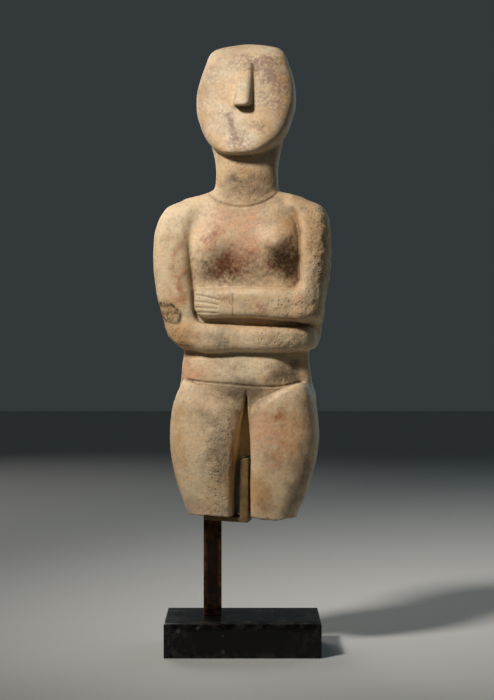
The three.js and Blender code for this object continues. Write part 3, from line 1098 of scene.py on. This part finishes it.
def weathered_marble():
    """Cream marble with stains, soil, worn skin and an elbow crust, plus painted shade, highlights and
    bounce light.
    """
    made, tree, shader, place = new_material("weathered_marble")

    def cloud(size, low, high):
        return patches(tree, place, size, low, high)

    def by_wear(whole, worn):
        """A number that changes from whole skin to worn."""
        return tree.spread(tree.mask("worn"), 0, 1, whole, worn)

    color = tree.mix(cloud(30, 0.36, 0.62), WARM_CREAM, CREAM)
    face = tree.mix(cloud(16, 0.4, 0.66), PALE_CREAM, WARM_CREAM)
    color = tree.mix(tree.mask("face"), color, face)
    color = tree.mix(tree.times(cloud(9, 0.46, 0.72), 0.55), color, TAN)
    color = tree.mix(tree.times(cloud(14, 0.54, 0.70), 0.35), color, STAIN_COLORS["grey"])
    color = stained(tree, place, color)

    grain = tree.noise(place, 0.55, 6.0, 0.75)
    yellowed = tree.mix(1.0, color, srgb(255, 244, 226), "MULTIPLY")
    color = tree.mix(tree.spread(grain, 0.34, 0.66, 0.0, 1.0), color, yellowed)
    color = tree.mix(tree.spread(grain, 0.52, 0.36, 0.0, 0.30), color, SOIL)
    specks = tree.group(SPECKLE, {"Place": place, "Size": 1.7, "Share": 0.3})
    color = tree.mix(tree.times(specks, by_wear(0.10, 0.42)), color, SOIL)
    fine_specks = tree.group(SPECKLE, {"Place": place, "Size": 0.8, "Share": 0.35})
    color = tree.mix(tree.times(fine_specks, 0.22), color, SOIL)
    fresh = tree.times(tree.mask("worn"), cloud(3, 0.5, 0.64))
    color = tree.mix(tree.times(fresh, 0.4), color, FRESH_BREAK)
    # Soil and painted shade in the pits of the worn skin.
    color = tree.mix(tree.times(tree.mask("pits_soil_and_shade"), 0.45), color, SOIL)

    crust = tree.mask("crust")
    lumps = tree.mix(cloud(2.0, 0.4, 0.54), CRUST_DARK, CRUST_PALE)
    color = tree.mix(tree.spread(crust, 0.2, 0.7, 0.0, 0.75), color, lumps)
    rim = tree.times(tree.spread(crust, 0.08, 0.3), tree.spread(crust, 0.7, 0.4))
    color = tree.mix(tree.times(rim, cloud(3.5, 0.38, 0.5)), color, CRUST_DARK)

    broken = tree.mix(cloud(4, 0.4, 0.6), SOIL, TAN)
    color = tree.mix(tree.times(tree.mask("broken"), 0.75), color, broken)
    # Painted shade and soil in the crevices, left out inside the slot between the legs.
    crevice_strength = tree.spread(tree.mask("slot"), 0, 1, 0.55, 0.0)
    color = tree.mix(tree.times(tree.spread(tree.mask("crevice_shade_and_soil"), 0.25, 0.9), crevice_strength), color, SOIL)
    # Soil and painted shade in the incised lines, by how deep they cut.
    color = tree.mix(tree.times(tree.mask("line"), 0.4), color, SOIL)
    # Painted bounce light in the slot between the legs: a lighter colour on walls that lie in shade.
    slot_bounce_light = tree.mix(cloud(6, 0.4, 0.62), SLOT_BOUNCE_DARK, SLOT_BOUNCE_PALE)
    color = tree.mix(tree.times(tree.mask("slot"), 0.85), color, slot_bounce_light)
    color, _ = dusted(tree, place, color, 0.18, srgb(206, 196, 180))

    sugar = tree.noise(place, 1.6, 5.0, 0.65)
    coarse = tree.noise(place, 0.55, 4.0, 0.6)
    height = tree.math("ADD", tree.times(sugar, by_wear(0.30, 0.9)), tree.times(coarse, by_wear(0.25, 1.0)))
    height = tree.math("SUBTRACT", height, tree.times(specks, by_wear(0.12, 0.7)))
    roughness = tree.math("ADD", by_wear(0.52, 0.82), tree.spread(sugar, 0.3, 0.7, -0.07, 0.07))
    shader.inputs["Specular IOR Level"].default_value = 0.35
    finish_material(tree, shader, color, roughness, height, bump=0.75, reach=0.0008)
    return made


def ivory_paint():
    """Old ivory paint darkened for the painted shade under the legs, dusty, with its edges rubbed darker.
    """
    made, tree, shader, place = new_material("ivory_paint")
    cloud = patches(tree, place, 7.0, 0.38, 0.62)
    # The paint is darkened to a brown as painted shade, standing in for the shadow the legs cast on the
    # bracket.
    color = tree.mix(cloud, srgb(112, 92, 58), srgb(124, 104, 68))
    rubbed = rubbed_edges(tree, place, 2.0, 0.44, 0.58)
    color = tree.mix(tree.times(rubbed, 0.7), color, srgb(96, 76, 46))
    specks = tree.group(SPECKLE, {"Place": place, "Size": 2.2, "Share": 0.18})
    color = tree.mix(tree.times(specks, 0.5), color, srgb(88, 70, 44))
    color, _ = dusted(tree, place, color, 0.5, srgb(186, 176, 156))
    brush = tree.noise(tree.stretched(place, (1.0, 1.0, 0.12)), 1.8, 3.0)
    roughness = tree.spread(cloud, 0, 1, 0.6, 0.72)
    shader.inputs["Specular IOR Level"].default_value = 0.2
    finish_material(tree, shader, color, roughness, brush, bump=0.25, reach=0.0002)
    return made


def dark_bronze():
    """Drawn bronze gone dark, brighter where its edges are rubbed."""
    made, tree, shader, place = new_material("dark_bronze")
    cloud = patches(tree, place, 12.0, 0.38, 0.66)
    color = tree.mix(cloud, srgb(18, 10, 7), srgb(42, 22, 12))
    rubbed = rubbed_edges(tree, place, 5.0, 0.42, 0.6)
    color = tree.mix(tree.times(rubbed, 0.6), color, srgb(128, 84, 44))
    color, _ = dusted(tree, place, color, 0.4, srgb(120, 112, 100))
    drawn = tree.noise(tree.stretched(place, (1.0, 1.0, 0.04)), 2.6, 4.0)
    streaks = tree.spread(drawn, 0.3, 0.7, -0.05, 0.05)
    roughness = tree.math("ADD", tree.spread(cloud, 0, 1, 0.26, 0.4), streaks)
    shader.inputs["Metallic"].default_value = 0.55
    finish_material(tree, shader, color, roughness, drawn, bump=0.2, reach=0.0001)
    return made


def black_polish():
    """Polished black stone with fine lint and faint hairlines."""
    made, tree, shader, place = new_material("black_polish")
    cloud = patches(tree, place, 26.0, 0.36, 0.66)
    color = tree.mix(cloud, srgb(5, 5, 5), srgb(10, 9, 9))
    rubbed = rubbed_edges(tree, place, 4.0, 0.46, 0.62)
    color = tree.mix(tree.times(rubbed, 0.5), color, srgb(62, 56, 50))
    color, dust = dusted(tree, place, color, 0.08, srgb(120, 116, 108))
    lint = tree.group(SPECKLE, {"Place": place, "Size": 3.2, "Share": 0.07})
    color = tree.mix(tree.times(lint, 0.35), color, srgb(120, 116, 108))
    hairline = tree.noise(tree.stretched(place, (0.05, 1.0, 1.0)), 3.0, 4.0)
    roughness = tree.math("ADD", tree.spread(cloud, 0, 1, 0.13, 0.24), tree.times(dust, 1.2))
    roughness = tree.math("ADD", roughness, tree.spread(hairline, 0.55, 0.75, 0.0, 0.12))
    shader.inputs["Specular IOR Level"].default_value = 0.22
    finish_material(tree, shader, color, roughness, hairline, bump=0.05, reach=0.0001)
    return made


# ---- The figurine and its stand ------------------------------------------------------------------

figure = figure_piece()
figure.data.materials.append(weathered_marble())


def stand_base_piece():
    """The polished block that everything stands on."""
    low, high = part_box("stand_base")
    mesh = block(low, high, BLOCK_ROUNDING)
    add_piece("polished_block", mesh, "stand_base", black_polish())


def mount_post_piece():
    """A square bar, with its top cut to the slope of the shelf."""
    low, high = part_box("mount_post")
    mesh = block(low, high, POST_ROUNDING)
    top_band = 0.002
    for v in mesh.verts:
        if v.co.z > high.z - top_band:
            v.co.z -= (v.co.x - low.x) * SHELF_SLOPE
    add_piece("square_post", mesh, "mount_post", dark_bronze())


def mount_cradle_piece():
    """A sloping shelf and an upright cut from one plate, with every edge eased."""
    corner, corner_middle = 1.2, 0.35  # the upright's rounded top corner
    outline = [
        (SHELF_LEFT, shelf_top(SHELF_LEFT) - SHELF_THICK),
        (UPRIGHT_RIGHT, shelf_top(UPRIGHT_RIGHT) - SHELF_THICK),
        (UPRIGHT_RIGHT, UPRIGHT_TOP),
        (UPRIGHT_LEFT + corner, UPRIGHT_TOP),
        (UPRIGHT_LEFT + corner_middle, UPRIGHT_TOP - corner_middle),
        (UPRIGHT_LEFT, UPRIGHT_TOP - corner),
        (UPRIGHT_LEFT, shelf_top(UPRIGHT_LEFT)),
        (SHELF_LEFT, shelf_top(SHELF_LEFT)),
    ]
    mesh = bmesh.new()
    c, s = math.cos(TURN) * MM, math.sin(TURN) * MM
    y = PLATE_FRONT
    corners = [mesh.verts.new((c * x - s * y, s * x + c * y, z * MM)) for x, z in outline]
    face = mesh.faces.new(corners)
    pushed = bmesh.ops.extrude_face_region(mesh, geom=[face])
    moved = [v for v in pushed["geom"] if isinstance(v, bmesh.types.BMVert)]
    depth = PLATE_BACK - PLATE_FRONT
    bmesh.ops.translate(mesh, verts=moved, vec=(-s * depth, c * depth, 0))
    bmesh.ops.recalc_face_normals(mesh, faces=mesh.faces[:])
    ease_edges(mesh, PLATE_ROUNDING)
    add_piece("plate_bracket", mesh, "mount_cradle", ivory_paint())


stand_base_piece()
mount_post_piece()
mount_cradle_piece()


# ---- Room, light and camera ----------------------------------------------------------------------


def floor():
    """A plain pale floor under the stand."""
    made = bpy.data.meshes.new("floor")
    half = 2.5
    corners = [(-half, -half, 0), (half, -half, 0), (half, half, 0), (-half, half, 0)]
    made.from_pydata(corners, [], [(0, 1, 2, 3)])
    piece = bpy.data.objects.new("floor", made)
    bpy.context.collection.objects.link(piece)
    paper = bpy.data.materials.new("floor_paper")
    paper.use_nodes = True
    shader = paper.node_tree.nodes["Principled BSDF"]
    shader.inputs["Base Color"].default_value = srgb(206, 205, 202)
    shader.inputs["Roughness"].default_value = 0.9
    made.materials.append(paper)


LAMP_TARGET = Vector((0, 0, 0.225))
ROOM_COLOR, ROOM_STRENGTH = (0.78, 0.94, 1.0, 1), 0.042


def softbox(name, azimuth, elevation, distance, size, power, color, spread):
    """A square lamp that faces the figure; its azimuth is 0 in front and grows toward +X."""
    data = bpy.data.lights.new(name, "AREA")
    data.shape = "SQUARE"
    data.size = size
    data.energy = power
    data.color = color
    data.spread = math.radians(spread)
    lamp = bpy.data.objects.new(name, data)
    a, e = math.radians(azimuth), math.radians(elevation)
    back = Vector((math.sin(a) * math.cos(e), -math.cos(a) * math.cos(e), math.sin(e)))
    lamp.location = LAMP_TARGET + back * distance
    lamp.rotation_mode = "QUATERNION"
    lamp.rotation_quaternion = (-back).to_track_quat("-Z", "Y")
    bpy.context.collection.objects.link(lamp)


def light():
    """A warm key from the front left, with cool and warm fill from behind, in a dim room."""
    softbox("key_light", -44, 38, 1.0, size=0.16, power=0.5, color=(1.0, 0.95, 0.89), spread=36)
    softbox("side_light", 138, 14, 1.5, size=0.9, power=0.65, color=(0.62, 0.88, 1.0), spread=80)
    softbox("rear_light", 208, 20, 1.5, size=0.9, power=1.6, color=(1.0, 0.97, 0.92), spread=80)
    world = bpy.data.worlds.new("room")
    world.use_nodes = True
    background = world.node_tree.nodes["Background"]
    background.inputs["Color"].default_value = ROOM_COLOR
    background.inputs["Strength"].default_value = ROOM_STRENGTH
    bpy.context.scene.world = world


EYE = (0.0022, -0.858, 0.1666)
LOOK_DOWN = 0.73  # degrees below level


def camera():
    """A long lens, almost level with the folded arms."""
    data = bpy.data.cameras.new("camera")
    data.lens = 85
    data.sensor_width = 36
    eye = bpy.data.objects.new("camera", data)
    eye.location = EYE
    eye.rotation_euler = (math.radians(90 - LOOK_DOWN), 0, 0)
    bpy.context.collection.objects.link(eye)
    bpy.context.scene.camera = eye


floor()
light()
camera()
bpy.context.scene.view_settings.view_transform = "Standard"
